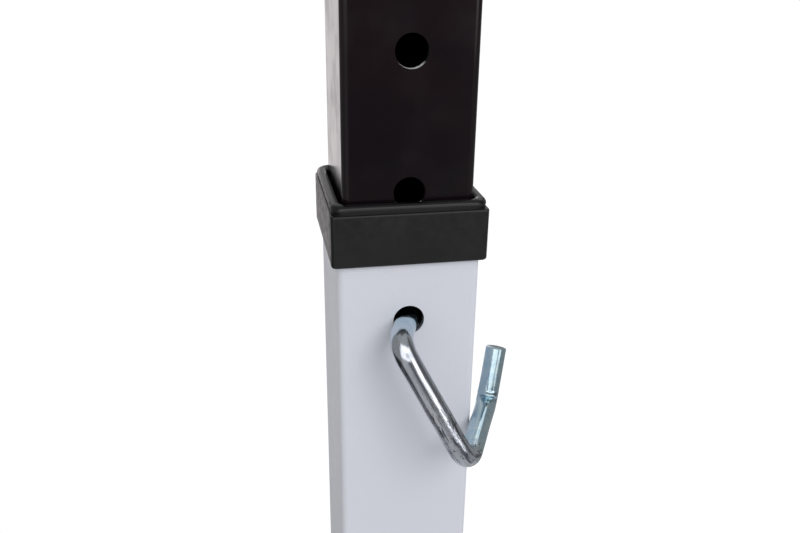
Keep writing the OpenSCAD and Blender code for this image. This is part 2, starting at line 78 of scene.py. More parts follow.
def make_camera():
    data = bpy.data.cameras.new("camera")
    data.lens, data.sensor_width, data.sensor_fit = CAM_LENS, 36, "HORIZONTAL"
    data.clip_start, data.clip_end = 0.01, 200
    cam = bpy.data.objects.new("camera", data)
    bpy.context.scene.collection.objects.link(cam)
    ahead = Vector((math.sin(CAM_YAW) * math.cos(CAM_PITCH), math.cos(CAM_YAW) * math.cos(CAM_PITCH),
                    -math.sin(CAM_PITCH)))
    right = Vector((math.cos(CAM_YAW), -math.sin(CAM_YAW), 0))
    down = ahead.cross(right)
    c, s = math.cos(CAM_ROLL), math.sin(CAM_ROLL)
    x = right * c + down * s
    y = right * s - down * c
    cam.matrix_world = Matrix((x, y, -ahead)).transposed().to_4x4()
    cam.location = CAM_AT
    bpy.context.scene.camera = cam


# ---- node trees ----
class Tree:
    """A short way to write a node tree."""

    def __init__(self, tree):
        self.tree = tree

    def add(self, kind, *links, **settings):
        """A node with its settings, and links as (socket, value or output)."""
        node = self.tree.nodes.new("ShaderNode" + kind)
        for name, value in settings.items():
            setattr(node, name, value)
        for socket, value in links:
            self.put(node.inputs[socket], value)
        return node

    def put(self, socket, value):
        if isinstance(value, bpy.types.NodeSocket):
            self.tree.links.new(value, socket)
        elif isinstance(value, (tuple, list)) and len(value) == 3 and socket.type == "RGBA":
            socket.default_value = (*value, 1)
        else:
            socket.default_value = value

    def math(self, op, a, b=0.0, c=0.0):
        return self.add("Math", (0, a), (1, b), (2, c), operation=op).outputs[0]

    def where(self, value, low, high, to_low=0.0, to_high=1.0):
        """value spread from low..high to to_low..to_high, smoothly."""
        node = self.add("MapRange", ("Value", value), ("From Min", low), ("From Max", high),
                        ("To Min", to_low), ("To Max", to_high), interpolation_type="SMOOTHSTEP")
        return node.outputs[0]

    def coords(self, scale=(1, 1, 1), source="Object", turn=(0, 0, 0)):
        found = self.add("TexCoord").outputs[source]
        return self.add("Mapping", ("Vector", found), ("Scale", scale), ("Rotation", turn)).outputs[0]

    def noise(self, scale, detail=3, rough=0.5, at=None):
        at = at or self.coords()
        return self.add("TexNoise", ("Vector", at), ("Scale", scale), ("Detail", detail),
                        ("Roughness", rough)).outputs["Fac"]

    def mix(self, fac, a, b):
        return self.add("Mix", (0, fac), (6, a), (7, b), data_type="RGBA").outputs[2]

    def bump(self, height, distance, strength=1.0, normal=None):
        links = [("Height", height), ("Distance", distance), ("Strength", strength)]
        if normal:
            links.append(("Normal", normal))
        return self.add("Bump", *links).outputs[0]


class Paint(Tree):
    """A material's tree, with its Principled shader."""

    def __init__(self, name, **constants):
        self.mat = bpy.data.materials.new(name)
        self.mat.use_nodes = True
        super().__init__(self.mat.node_tree)
        self.shader = self.tree.nodes["Principled BSDF"]
        for socket, value in constants.items():
            self.set(socket.replace("_", " "), value)

    def set(self, socket, value):
        self.put(self.shader.inputs[socket], value)


def hole_mask(m, pitched):
    """1 on the walls of the round holes through the tube's front, and 1 on the lower part of those walls, which the
    black paint paints near white as a painted highlight of the light falling on them from above.
    """
    xyz = m.add("SeparateXYZ", (0, m.coords())).outputs
    dx = m.math("SUBTRACT", m.math("ABSOLUTE", xyz[0]), POST_X)
    dz = m.math("SUBTRACT", xyz[2], LOCK_Z)
    if pitched:
        dz = m.math("WRAP", dz, HOLE_PITCH / 2, -HOLE_PITCH / 2)
    away = m.math("SQRT", m.math("ADD", m.math("MULTIPLY", dx, dx), m.math("MULTIPLY", dz, dz)))
    wall = m.math("MULTIPLY", m.where(away, HOLE_R + 0.00004, HOLE_R + 0.00001), m.where(xyz[1], -0.0192, -0.0196))
    wall = m.math("MULTIPLY", wall, m.where(xyz[2], HIGHEST_HOLE + 0.009, HIGHEST_HOLE + 0.008))
    return wall, m.math("MULTIPLY", wall, m.where(dz, -0.55 * HOLE_R, -0.80 * HOLE_R))


def white_paint():
    m = Paint("white_paint", IOR=1.35)
    hole = hole_mask(m, False)[0]
    cloud = m.noise(9, 4)
    tone = m.mix(m.where(cloud, 0.3, 0.7), (0.62, 0.635, 0.69), (0.66, 0.675, 0.735))
    speck = m.where(m.noise(1400, 2, 0.4), 0.72, 0.80)
    tone = m.mix(m.math("MULTIPLY", speck, 0.25), tone, (0.45, 0.46, 0.5))
    m.set("Base Color", m.mix(hole, tone, (0.45, 0.46, 0.48)))
    m.set("Metallic", m.math("MULTIPLY", hole, 0.9))
    m.set("Roughness", m.where(m.noise(260, 3), 0.3, 0.7, 0.42, 0.55))
    peel = m.bump(m.noise(520, 2, 0.4), 0.00006, 0.5)
    m.set("Normal", m.bump(m.where(m.noise(900, 1), 0.66, 0.8), 0.00005, 0.6, peel))
    return m.mat


def black_paint():
    m = Paint("black_paint", IOR=1.5, Specular_IOR_Level=0.32)
    hole, low = hole_mask(m, True)
    cast = m.where(m.noise(22, 5, 0.6), 0.35, 0.68)
    tone = m.mix(cast, (0.0052, 0.0034, 0.0050), (0.0095, 0.0046, 0.0060))
    tone = m.mix(hole, tone, (0.015, 0.015, 0.015))
    # Painted highlight: the lower part of each hole's wall is painted near white, standing in for the light that falls
    # on it from above.
    m.set("Base Color", m.mix(low, tone, (0.85, 0.85, 0.84)))
    m.set("Roughness", m.where(m.noise(60, 3), 0.3, 0.75, 0.10, 0.22))
    m.set("Normal", m.bump(m.noise(240, 2), 0.00004, 0.25))
    return m.mat


def black_plastic():
    m = Paint("black_plastic", IOR=1.5, Specular_IOR_Level=0.42)
    polished = m.where(m.add("SeparateXYZ", (0, m.add("NewGeometry").outputs["Normal"])).outputs[2], 0.1, 0.5)
    m.set("Base Color", m.mix(m.where(m.noise(60, 5, 0.6), 0.3, 0.75), (0.0045, 0.0045, 0.0050),
                              (0.0085, 0.0085, 0.0090)))
    m.set("Roughness", m.math("SUBTRACT", m.where(m.noise(420, 4, 0.6), 0.3, 0.7, 0.32, 0.48),
                              m.math("MULTIPLY", polished, 0.24)))
    m.set("Normal", m.bump(m.noise(2600, 2), 0.00003, 0.4, m.bump(m.noise(120, 3), 0.00006, 0.35)))
    return m.mat


def zinc_rod():
    m = Paint("zinc_rod", Metallic=1.0)
    rod = m.add("Attribute", attribute_name="rod").outputs["Vector"]
    away = m.add("SeparateXYZ", (0, rod)).outputs[2]

    def along(x, z, detail=3):
        return m.noise(1, detail, 0.6, m.add("Mapping", ("Vector", rod), ("Scale", (x, x, z))).outputs[0])

    def span(a, b, c, d):
        return m.math("SUBTRACT", m.where(away, a, b), m.where(away, c, d))

    drawn, line = along(1500, 40), along(800, 20)
    leg, rough = span(0.034, 0.046, 0.090, 0.102), span(0.056, 0.078, 0.098, 0.106)
    blue = m.mix(m.where(m.noise(260, 4), 0.3, 0.7), (0.42, 0.57, 0.67), (0.55, 0.68, 0.72))
    grey = m.mix(m.where(m.noise(60, 3), 0.3, 0.7), (0.56, 0.60, 0.67), (0.66, 0.69, 0.75))
    scored = m.math("MULTIPLY", m.where(along(1000, 110, 4), 0.53, 0.60), m.math("MULTIPLY", rough, 0.85))
    deep = m.math("ADD", 0.10, m.math("MULTIPLY", rough, 0.75))
    pitted = m.math("MULTIPLY", m.where(along(1200, 560, 2), 0.57, 0.66), deep)
    # Painted shade: a dark ragged band on the shank where it enters the hole, standing in for the hole's shade on it.
    entry = m.math("ADD", away, m.math("MULTIPLY", m.noise(420, 3), 0.0016))
    inside = m.math("MULTIPLY", m.where(entry, 0.0290, 0.0312), m.where(entry, 0.0327, 0.0334, 0.85, 0.0))
    # Darker where the rod is really scored and pitted, and in the painted shade at the hole's mouth.
    wear_and_painted_shade = m.math("MAXIMUM", inside, m.math("MAXIMUM", scored, pitted))
    m.set("Base Color", m.mix(wear_and_painted_shade, m.mix(leg, blue, grey), (0.10, 0.11, 0.13)))
    m.set("Roughness", m.math("ADD", m.where(drawn, 0.3, 0.7, 0.09, 0.18), m.math("MULTIPLY", rough, 0.08)))
    grain = m.math("MULTIPLY", along(1100, 420, 4), m.math("MULTIPLY", rough, 1.3))
    height = m.math("ADD", m.math("MULTIPLY", line, 0.9), m.math("ADD", m.math("MULTIPLY", drawn, 0.35), grain))
    m.set("Normal", m.bump(height, 0.00012, 0.7))
    return m.mat


def zinc_steel():
    m = Paint("zinc_steel", Metallic=1.0)
    patch = m.noise(220, 3)
    m.set("Base Color", m.mix(m.where(patch, 0.3, 0.7), (0.58, 0.60, 0.63), (0.74, 0.75, 0.74)))
    m.set("Roughness", m.where(m.noise(500, 4, 0.6), 0.3, 0.7, 0.24, 0.42))
    m.set("Normal", m.bump(m.noise(900, 3), 0.00006, 0.4))
    return m.mat


def rubber():
    m = Paint("rubber", IOR=1.5)
    m.set("Base Color", m.mix(m.noise(90, 5, 0.65), (0.012, 0.012, 0.012), (0.034, 0.034, 0.033)))
    m.set("Roughness", m.where(m.noise(300, 4), 0.3, 0.7, 0.62, 0.85))
    m.set("Normal", m.bump(m.noise(1500, 3), 0.00010, 0.6))
    return m.mat


def net_cord():
    m = Paint("net_cord", IOR=1.5, Sheen_Weight=0.25, Sheen_Roughness=0.5)
    m.set("Base Color", m.mix(m.noise(500, 4, 0.6), (0.010, 0.010, 0.011), (0.035, 0.035, 0.037)))
    m.set("Roughness", m.where(m.noise(900, 3), 0.3, 0.7, 0.55, 0.8))
    m.set("Normal", m.bump(m.noise(2600, 3), 0.0002, 0.6))
    return m.mat


def woven(name, dark, light, pitch, rough):
    """Plain weave of flat yarns, seen in the tape's own two directions, with painted shade: the hollows between the
    yarns darker and their tops lighter.
    """
    m = Paint(name, IOR=1.5, Sheen_Weight=0.15, Sheen_Roughness=0.5)
    xyz = m.add("SeparateXYZ", (0, m.coords())).outputs
    turns = 2 * math.pi / pitch
    along = m.math("SINE", m.math("MULTIPLY", xyz[0], turns))
    up = m.math("SINE", m.math("MULTIPLY", xyz[2], turns))
    over = m.math("MULTIPLY", along, up)
    height = m.math("ADD", m.math("MULTIPLY", over, 0.5), 0.5)
    # Painted shade: the colour follows the weave's height, so the hollows between yarns are darker and the yarn tops
    # lighter.
    tone = m.mix(height, dark, light)
    dirt = m.where(m.noise(14, 5, 0.65), 0.4, 0.75)
    m.set("Base Color", m.mix(m.math("MULTIPLY", dirt, 0.25), tone, dark))
    m.set("Roughness", m.where(m.noise(350, 3), 0.3, 0.7, rough - 0.08, rough + 0.08))
    m.set("Normal", m.bump(height, 0.00025, 0.7, m.bump(m.noise(1800, 2), 0.0001, 0.4)))
    return m.mat


def dowel_rod():
    m = Paint("dowel_rod", IOR=1.5, Coat_Weight=0.3, Coat_Roughness=0.2)
    grain = m.noise(1, 5, 0.6, m.coords((500, 500, 8)))
    m.set("Base Color", m.mix(grain, (0.48, 0.37, 0.18), (0.72, 0.63, 0.42)))
    m.set("Roughness", m.where(grain, 0.3, 0.7, 0.3, 0.5))
    m.set("Normal", m.bump(grain, 0.00006, 0.5))
    return m.mat


MATERIALS = {
    "white_paint": white_paint(),
    "black_paint": black_paint(),
    "black_plastic": black_plastic(),
    "zinc_rod": zinc_rod(),
    "zinc_steel": zinc_steel(),
    "rubber": rubber(),
    "net_cord": net_cord(),
    "net_tape": woven("net_tape", (0.60, 0.60, 0.58), (0.78, 0.78, 0.76), 0.0016, 0.6),
    "thread": woven("thread", (0.40, 0.40, 0.39), (0.58, 0.58, 0.56), 0.0008, 0.5),
    "webbing": woven("webbing", (0.010, 0.010, 0.011), (0.040, 0.040, 0.042), 0.0016, 0.6),
    "dowel_rod": dowel_rod(),
}


# ---- meshes ----
class Shape:
    """Grids of points gathered into one mesh."""

    def __init__(self):
        self.verts, self.faces, self.rod = [], [], []

    def grid(self, rows, round_row=True, round_all=False, ends=True, rod=None):
        """Joins rows of points: each row closes on itself if round_row, the last joins the first if round_all."""
        first, width = len(self.verts), len(rows[0])
        for i, row in enumerate(rows):
            self.verts += [tuple(p) for p in row]
            self.rod += rod[i] if rod else [(0.0, 0.0, 0.0)] * width
        for i in range(len(rows) if round_all else len(rows) - 1):
            a, b = first + i * width, first + (i + 1) % len(rows) * width
            for j in range(width if round_row else width - 1):
                k = (j + 1) % width
                self.faces.append((a + j, a + k, b + k, b + j))
        if ends and round_row and not round_all:
            self.faces.append(tuple(first + j for j in reversed(range(width))))
            last = first + (len(rows) - 1) * width
            self.faces.append(tuple(last + j for j in range(width)))

    def tube(self, path, radius, sides=8, closed=False, ends=True):
        """A tube along path; radius is a number, or a function of (place along the path, angle)."""
        path = [Vector(p) for p in path]
        count = len(path)
        rows, away = [], 0.0
        side = None
        for i, p in enumerate(path):
            after = path[(i + 1) % count] if closed or i < count - 1 else p
            before = path[i - 1] if closed or i > 0 else p
            ahead = (after - before).normalized()
            if side is None:
                side = ahead.orthogonal().normalized()
            side = (side - ahead * side.dot(ahead)).normalized()
            up = ahead.cross(side)
            row = []
            for j in range(sides):
                angle = 2 * math.pi * j / sides
                r = radius(away, angle) if callable(radius) else radius
                row.append(p + side * (math.cos(angle) * r) + up * (math.sin(angle) * r))
            rows.append(row)
            away += (after - p).length
        self.grid(rows, round_all=closed, ends=ends)

    def make(self, name, body, material, sharp=40, replaces=(), mirror=False, rod=False):
        flip = -1 if mirror else 1
        mesh = bpy.data.meshes.new(name)
        verts = [(x * flip, y, z) for x, y, z in self.verts]
        faces = [f[::-1] for f in self.faces] if mirror else self.faces
        mesh.from_pydata(verts, [], faces)
        if rod:
            data = mesh.attributes.new("rod", "FLOAT_VECTOR", "POINT")
            data.data.foreach_set("vector", [c for v in self.rod for c in v])
        build = bmesh.new()
        build.from_mesh(mesh)
        bmesh.ops.recalc_face_normals(build, faces=build.faces)
        build.to_mesh(mesh)
        build.free()
        mesh.shade_smooth()
        mesh.set_sharp_from_angle(angle=math.radians(sharp))
        mesh.materials.append(MATERIALS[material])
        piece = bpy.data.objects.new(name, mesh)
        bpy.context.scene.collection.objects.link(piece)
        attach(piece, body)
        if replaces:
            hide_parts(*replaces)
        return piece


def soft_square(half, r, z, steps=6, straight=8):
    """Points round a square with round corners, about the post's axis."""
    points = []
    for k in range(4):
        turn = math.pi / 2 * k
        for i in range(steps + 1):
            a = math.pi / 2 * i / steps
            x, y = half - r + r * math.cos(a), half - r + r * math.sin(a)
            points.append((x, y, turn))
        for i in range(1, straight):
            points.append((half - r - 2 * (half - r) * i / straight, half, turn))
    return [(POST_X + x * math.cos(t) - y * math.sin(t), x * math.sin(t) + y * math.cos(t), z) for x, y, t in points]


def arc(cx, cy, r, start, stop, steps):
    """Points on an arc, with its angles in degrees."""
    found = []
    for i in range(steps + 1):
        a = math.radians(start + (stop - start) * i / steps)
        found.append((cx + r * math.cos(a), cy + r * math.sin(a)))
    return found


def make_collar(side):
    """The plastic collar, lofted from its section: flat sides, a step, and a round bead along the mouth."""
    out, mouth = COLLAR_W / 2, MOUTH_W / 2
    high = COLLAR_TOP - COLLAR_BOTTOM
    bead_out = out - BEAD_STEP
    bead_r = (bead_out - mouth) / 2
    shoulder = high - BEAD_H
    edge = 0.0009
    section = [(out - edge * 0.9, 0.0, BODY_R)]
    section += [(x, z, BODY_R) for x, z in arc(out - edge, edge, edge, -60, 0, 3)]
    section += [(out, shoulder - edge, BODY_R)]
    section += [(x, z, BODY_R) for x, z in arc(out - edge / 2, shoulder - edge / 2, edge / 2, 20, 80, 2)]
    groove = 0.0002
    section += [(bead_out - groove, shoulder - 0.00015, BEAD_R - groove),
                (bead_out - groove, shoulder + 0.0002, BEAD_R)]
    for x, z in arc(bead_out - bead_r, high - bead_r, bead_r, -18, 180, 14):
        section.append((x, z, BEAD_R + (MOUTH_R - BEAD_R) * (bead_out - x) / (2 * bead_r)))
    seat = SEAT_W / 2
    section += [(mouth, high - CAP_T, MOUTH_R), (seat, high - CAP_T, TUBE_R), (seat, edge, TUBE_R),
                (seat + edge / 2, 0.0, TUBE_R)]
    shape = Shape()
    shape.grid([soft_square(half, r, COLLAR_BOTTOM + z) for half, z, r in section], round_all=True)
    return shape.make(f"{side}_collar_moulded", "bases", "black_plastic", 38, [f"{side}_collar"], side == "left")


def pin_matrix():
    return (Matrix.Translation((POST_X + PIN_X, -OUTER_W / 2, LOCK_Z - PIN_DROP)) @ Matrix.Rotation(-PIN_SKEW, 4, "Z")
            @ Matrix.Translation((0, -PIN_OUT, 0)) @ Matrix.Rotation(-PIN_SWING, 4, "Y"))


def pin_path():
    """The rod's middle line from the shank's tip, and its bends as (first point, last point, middle of the bend)."""
    b, tuck = PIN_BEND, HOOK_R * math.tan(HOOK_BEND / 2)
    run = Matrix.Translation((0, 0, -PIN_LEG)) @ Matrix.Rotation(-RUN_TURN, 4, "Z")
    hook = run @ Matrix.Translation((0, PIN_RUN, 0)) @ Matrix.Rotation(HOOK_TURN, 4, "Y")
    points, bends = [], []

    def straight(place, a, b, steps):
        (ay, az), (by, bz) = a, b
        for i in range(steps):
            t = i / steps
            points.append(place @ Vector((0, ay + (by - ay) * t, az + (bz - az) * t)))

    def bend(place, y, z, r, start, stop, steps):
        first = len(points)
        points.extend(place @ Vector((0, a, c)) for a, c in arc(y, z, r, start, stop, steps)[:-1])
        bends.append((first, len(points), place @ Vector((0, y, z))))

    here = Matrix.Identity(4)
    straight(here, (PIN_SHANK, 0), (PIN_SHANK - 0.0008, 0), 1)
    straight(here, (PIN_SHANK - 0.0008, 0), (b, 0), 24)
    bend(here, b, -b, b, 90, 180, 18)
    straight(here, (0, -b), (0, b - PIN_LEG), 36)
    bend(run, b, b, b, 180, 270, 18)
    near = PIN_RUN - tuck - 0.005
    straight(run, (b, 0), (near, 0), 14)
    straight(run, (near, 0), (PIN_RUN - tuck, 0), 20)
    bend(hook, -tuck, HOOK_R, HOOK_R, -90, math.degrees(HOOK_BEND) - 90, 22)
    c, s = math.cos(HOOK_BEND), math.sin(HOOK_BEND)
    far = tuck + 0.005
    straight(hook, (tuck * c, tuck * s), (far * c, far * s), 20)
    straight(hook, (far * c, far * s), ((HOOK_LEN - 0.0003) * c, (HOOK_LEN - 0.0003) * s), 10)
    straight(hook, ((HOOK_LEN - 0.0003) * c, (HOOK_LEN - 0.0003) * s), (HOOK_LEN * c, HOOK_LEN * s), 2)
    points.append(hook @ Vector((0, HOOK_LEN * c, HOOK_LEN * s)))
    return points, bends


def crease(s, inner):
    """Metal pushed up on the inner side of the tight bend, s metres past its middle; inner is 1 on that side."""
    if inner <= 0.2:
        return 0.0
    wide = ((inner - 0.2) / 0.8) ** 0.7
    lip = 0.00090 * math.exp(-((s - 0.0036) / 0.0008) ** 2) - 0.00060 * math.exp(-((s - 0.0013) / 0.0010) ** 2)
    return lip * wide


def make_pin(side):
    """The bent lock pin as one drawn rod, with the crease of its tight bend, its cut end and its flattened bends."""
    sides = 56
    points, bends = pin_path()
    count = len(points)
    place = [0.0]
    for a, b in zip(points, points[1:]):
        place.append(place[-1] + (b - a).length)
    rng = random.Random(5)
    wave = [(rng.uniform(0, 6.3), rng.uniform(150, 420), rng.randint(1, 3)) for _ in range(4)]
    tight = (place[bends[2][0]] + place[bends[2][1]]) / 2
    across = Vector((1, 0, 0))
    rows, marks = [], []
    for i, p in enumerate(points):
        ahead = (points[min(i + 1, count - 1)] - points[max(i - 1, 0)]).normalized()
        across = (across - ahead * across.dot(ahead)).normalized()
        inward = across.cross(ahead)
        squash = []
        for first, last, middle in bends:
            off = max(place[first] - place[i], place[i] - place[last], 0)
            inside = middle - p
            inside = (inside - ahead * inside.dot(ahead)).normalized()
            squash.append((math.exp(-(off / 0.003) ** 2), inside))
        row, mark = [], []
        for j in range(sides):
            a = 2 * math.pi * j / sides
            out = across * math.cos(a) + inward * math.sin(a)
            r = PIN_R + sum(0.000012 * math.sin(q + f * place[i] + n * a) for q, f, n in wave)
            for weight, inside in squash:
                facing = out.dot(inside)
                r *= 1 + weight * (0.02 - 0.05 * facing * facing)
            r += crease(place[i] - tight, out.dot(squash[2][1]))
            if i == 0:
                r *= 0.8
            if i == count - 1:
                r *= 0.955
            row.append(p + out * r)
            mark.append((math.cos(a) * PIN_R, math.sin(a) * PIN_R, place[i]))
        rows.append(row)
        marks.append(mark)
    m = pin_matrix()
    shape = Shape()
    shape.grid([[m @ p for p in row] for row in rows], rod=marks)
    replaced = [f"{side}_lock_pin"]
    shape.make(f"{side}_lock_pin_rod", f"{side}_pin", "zinc_rod", 42, replaced, side == "left", True)


def make_net(rng):
    """Twisted two-ply cords with a knot at each crossing."""
    cols, rows = round(2 * NET_HALF / PITCH), round((NET_HIGH - NET_LOW) / PITCH)
    tuck = 0.012
    spot = {}
    for i in range(cols + 1):
        for j in range(rows + 1):
            loose = 0.0 if i in (0, cols) or j in (0, rows) else 0.0016
            spot[i, j] = Vector((-NET_HALF + i * PITCH + rng.gauss(0, loose), rng.gauss(0, loose / 3),
                                 NET_LOW + j * PITCH + rng.gauss(0, loose)))
    cords, knots = Shape(), Shape()

    def cord(a, b, phase, bow):
        steps = 18
        path = []
        for k in range(steps + 1):
            t = k / steps
            path.append(a.lerp(b, t) + bow * (4 * t * (1 - t)))
        cords.tube(path, lambda s, angle: CORD_R * (0.80 + 0.20 * abs(math.cos(angle - phase - s * 260))), 8,
                   ends=False)

    for i in range(cols + 1):
        for j in range(rows + 1):
            here = spot[i, j]
            bow = Vector((rng.gauss(0, 0.0006), rng.gauss(0, 0.0006), -0.0005))
            if i < cols and 0 < j < rows:
                cord(here, spot[i + 1, j], rng.uniform(0, 6), bow)
            if j < rows and 0 < i < cols:
                cord(here, spot[i, j + 1], rng.uniform(0, 6), bow)
            if 0 < i < cols and j in (0, rows):
                out = Vector((0, 0, tuck if j else -tuck))
                cord(here, here + out, 0.0, Vector())
            if 0 < j < rows and i in (0, cols):
                out = Vector((tuck if i else -tuck, 0, 0))
                cord(here, here + out, 0.0, Vector())
            if 0 < i < cols and 0 < j < rows:
                turn = Matrix.Rotation(rng.choice((0.785, 2.356)) + rng.gauss(0, 0.15), 3, "Y")
                loop = []
                for k in range(22):
                    t = 2 * math.pi * k / 22
                    p = Vector((math.sin(t) + 2 * math.sin(2 * t), -1.15 * math.sin(3 * t),
                                math.cos(t) - 2 * math.cos(2 * t)))
                    loop.append(here + turn @ (p * 0.00125))
                knots.tube(loop, 0.00125, 6, closed=True)
    net = cords.make("net_cords", "net_and_masts", "net_cord", 60, ["net_mesh"])
    tied = knots.make("net_knots", "net_and_masts", "net_cord", 60)
    return net, tied


def ply_loop(profile, thick):
    """A closed outline round an open line of (a, b) points, thick on its left side."""
    count = len(profile)
    inner = []
    for i, (a, b) in enumerate(profile):
        pa, pb = profile[max(i - 1, 0)]
        na, nb = profile[min(i + 1, count - 1)]
        da, db = na - pa, nb - pb
        size = math.hypot(da, db) or 1.0
        inner.append((a - db / size * thick, b + da / size * thick))
    return list(profile) + inner[::-1]


def tape_profile(height, pinch, spread):
    """Front ply up from its free edge, over the fold, and down the back ply, as (y, height above the free edge)."""
    top = 0.00195
    front = [(-pinch - 0.0005, 0.0), (-pinch, 0.004), (-pinch, 0.0075), (-(pinch + spread) / 2, 0.012), (-spread, 0.020),
             (-spread, height * 0.55), (-top, height - 0.012), (-top, height - 0.0025)]
    crown = [(y, height - 0.0025 + z) for y, z in arc(0, 0.0005, top, 180, 0, 8)]
    return front[:-1] + crown + [(-y, z) for y, z in front[::-1][1:]]


def make_tape(name, base_z, height, up, rng):
    """A tape folded over the net's edge as one sheet; its stitches are drawn by make_stitches."""
    shape = Shape()
    steps = 420
    rows = []
    half = NET_HALF + 0.004
    ripple = [(rng.uniform(0, 6.3), rng.uniform(3, 26), 0.0004) for _ in range(5)]
    for i in range(steps + 1):
        x = -half + 2 * half * i / steps
        near = (x + PITCH / 2) % PITCH - PITCH / 2
        pinch = 0.0011 + 0.0011 * math.exp(-(near / 0.006) ** 2) + (0.0004 if abs(x) > NET_HALF - 0.01 else 0.0)
        profile = tape_profile(height, pinch, 0.0020)
        sway = sum(size * math.sin(p + f * x) for p, f, size in ripple)
        row = []
        for y, z in ply_loop(profile, PLY):
            lift = z / height
            row.append((x, y + sway * (0.4 + 0.6 * lift), base_z + up * z))
        rows.append(row)
    shape.grid(rows)
    piece = shape.make(name, "net_and_masts", "net_tape", 50, ["top_band" if up > 0 else "bottom_band"])
    return piece, ripple


def make_stitches(name, ripple, base_z, height, up):
    """Rows of thread through a folded tape, on both faces."""
    shape = Shape()
    long, gap = 0.0045, 0.0075
    for row_z in (0.0055, height - 0.010):
        count = int(2 * NET_HALF / gap)
        for i in range(count):
            x = -NET_HALF + gap * (i + 0.5)
            near = (x + PITCH / 2) % PITCH - PITCH / 2
            pinch = 0.0011 + 0.0011 * math.exp(-(near / 0.006) ** 2) if row_z < 0.01 else 0.00195
            sway = sum(size * math.sin(p + f * x) for p, f, size in ripple) * (0.4 + 0.6 * row_z / height)
            for face in (-1, 1):
                y = sway + face * (pinch + 0.00010)
                z = base_z + up * row_z
                shape.tube([(x - long / 2, y - face * 0.0004, z), (x - long / 4, y + face * 0.0001, z),
                            (x + long / 4, y + face * 0.0001, z), (x + long / 2, y - face * 0.0004, z)], 0.00035, 4)
    piece = shape.make(name, "net_and_masts", "thread", 60)
    return piece


def make_side_band(side):
    """The side tape: one sheet round the dowel, its two plies stitched together beside it."""
    r = SLEEVE_R + PLY
    inner, seam = NET_HALF + 0.0006, SLEEVE_X - 0.0105
    meet = 0.00115
    around = arc(SLEEVE_X, 0, r, -152, 152, 26)
    front = [(inner, -meet - 0.0005), (inner + 0.004, -meet), (inner + 0.015, -meet - 0.0003),
             (seam - 0.004, -meet), (seam, -meet + 0.0002), (seam + 0.002, -meet - 0.0008)]
    profile = front + around + [(x, -y) for x, y in front[::-1]]
    shape = Shape()
    rng = random.Random(11 if side == "left" else 12)
    wave = [(rng.uniform(0, 6.3), rng.uniform(8, 40), 0.00025) for _ in range(4)]
    rows = []
    for i in range(83):
        z = NET_BOTTOM + (NET_TOP - NET_BOTTOM) * i / 82
        sway = sum(size * math.sin(p + f * z) for p, f, size in wave)
        row = []
        for x, y in ply_loop(profile, PLY):
            loose = max(0.0, (SLEEVE_X - 0.012 - x) / 0.03)
            row.append((x, y + sway * loose, z))
        rows.append(row)
    shape.grid(rows)
    piece = shape.make(f"{side}_side_tape", "net_and_masts", "net_tape", 50, [f"{side}_side_band"], side == "left")
    seams = Shape()
    long, gap = 0.0045, 0.0075
    for k in range(int((NET_TOP - NET_BOTTOM) / gap)):
        z = NET_BOTTOM + gap * (k + 0.5)
        for x in (inner + 0.0055, seam):
            for face in (-1, 1):
                y = face * (meet + 0.0001)
                seams.tube([(x, y - face * 0.0004, z - long / 2), (x, y + face * 0.0001, z - long / 4),
                            (x, y + face * 0.0001, z + long / 4), (x, y - face * 0.0004, z + long / 2)], 0.00035, 4)
    thread = seams.make(f"{side}_side_stitches", "net_and_masts", "thread", 60, (), side == "left")
    return piece


def web_rows(line, z_mid, closed, width=WEB_W, thick=WEB_T):
    """A flat web along a line in plan, its rows square to it."""
    rows = []
    count = len(line)
    across = [(-0.5, 0.30), (-0.46, 0.5), (-0.25, 0.5), (0, 0.5), (0.25, 0.5), (0.46, 0.5), (0.5, 0.30),
              (0.5, -0.30), (0.46, -0.5), (0.25, -0.5), (0, -0.5), (-0.25, -0.5), (-0.46, -0.5), (-0.5, -0.30)]
    for i, (x, y) in enumerate(line):
        ax, ay = line[(i + 1) % count] if closed or i < count - 1 else (x, y)
        bx, by = line[i - 1] if closed or i > 0 else (x, y)
        size = math.hypot(ax - bx, ay - by)
        nx, ny = (ay - by) / size, -(ax - bx) / size
        rows.append([(x + nx * t * thick, y + ny * t * thick, z_mid + w * width) for w, t in across])
    return rows


def make_straps(side):
    """A loop of webbing from the net's ring to the loop on the mast, sewn where its ends lie on each other."""
    shape, sewn = Shape(), Shape()
    r = STRAP_R + WEB_T / 2
    for z in STRAP_Z:
        line = arc(STRAP_X1, 0, r, 90, 270, 14)
        line += [(STRAP_X1 + (LOOP_X - STRAP_X1) * i / 12, -r + 0.0003 * math.sin(i * 0.9)) for i in range(1, 12)]
        line += arc(LOOP_X, 0, r, -90, 90, 14)
        line += [(LOOP_X - (LOOP_X - STRAP_X1) * i / 12, r - 0.0004 * math.sin(math.pi * i / 12))
                 for i in range(1, 12)]
        shape.grid(web_rows(line, z, True), round_all=True)
        flap = [(STRAP_X1 + 0.004 + 0.003 * i, r + WEB_T * 0.98 - (0.0006 if i in (0, 11) else 0)) for i in range(12)]
        shape.grid(web_rows(flap, z, False, WEB_W * 0.98, WEB_T * 0.9))
        stitch_box(sewn, STRAP_X1 + 0.008, STRAP_X1 + 0.033, z - 0.0095, z + 0.0095, r + WEB_T * 1.5 - 0.0001, 1)
        stitch_box(sewn, STRAP_X1 + 0.008, STRAP_X1 + 0.033, z - 0.0095, z + 0.0095, r - WEB_T * 0.5 - 0.0004, -1)
    shape.make(f"{side}_strap_webs", "net_and_masts", "webbing", 50, [f"{side}_straps"], side == "left")
    sewn.make(f"{side}_strap_stitches", "net_and_masts", "webbing", 60, (), side == "left")


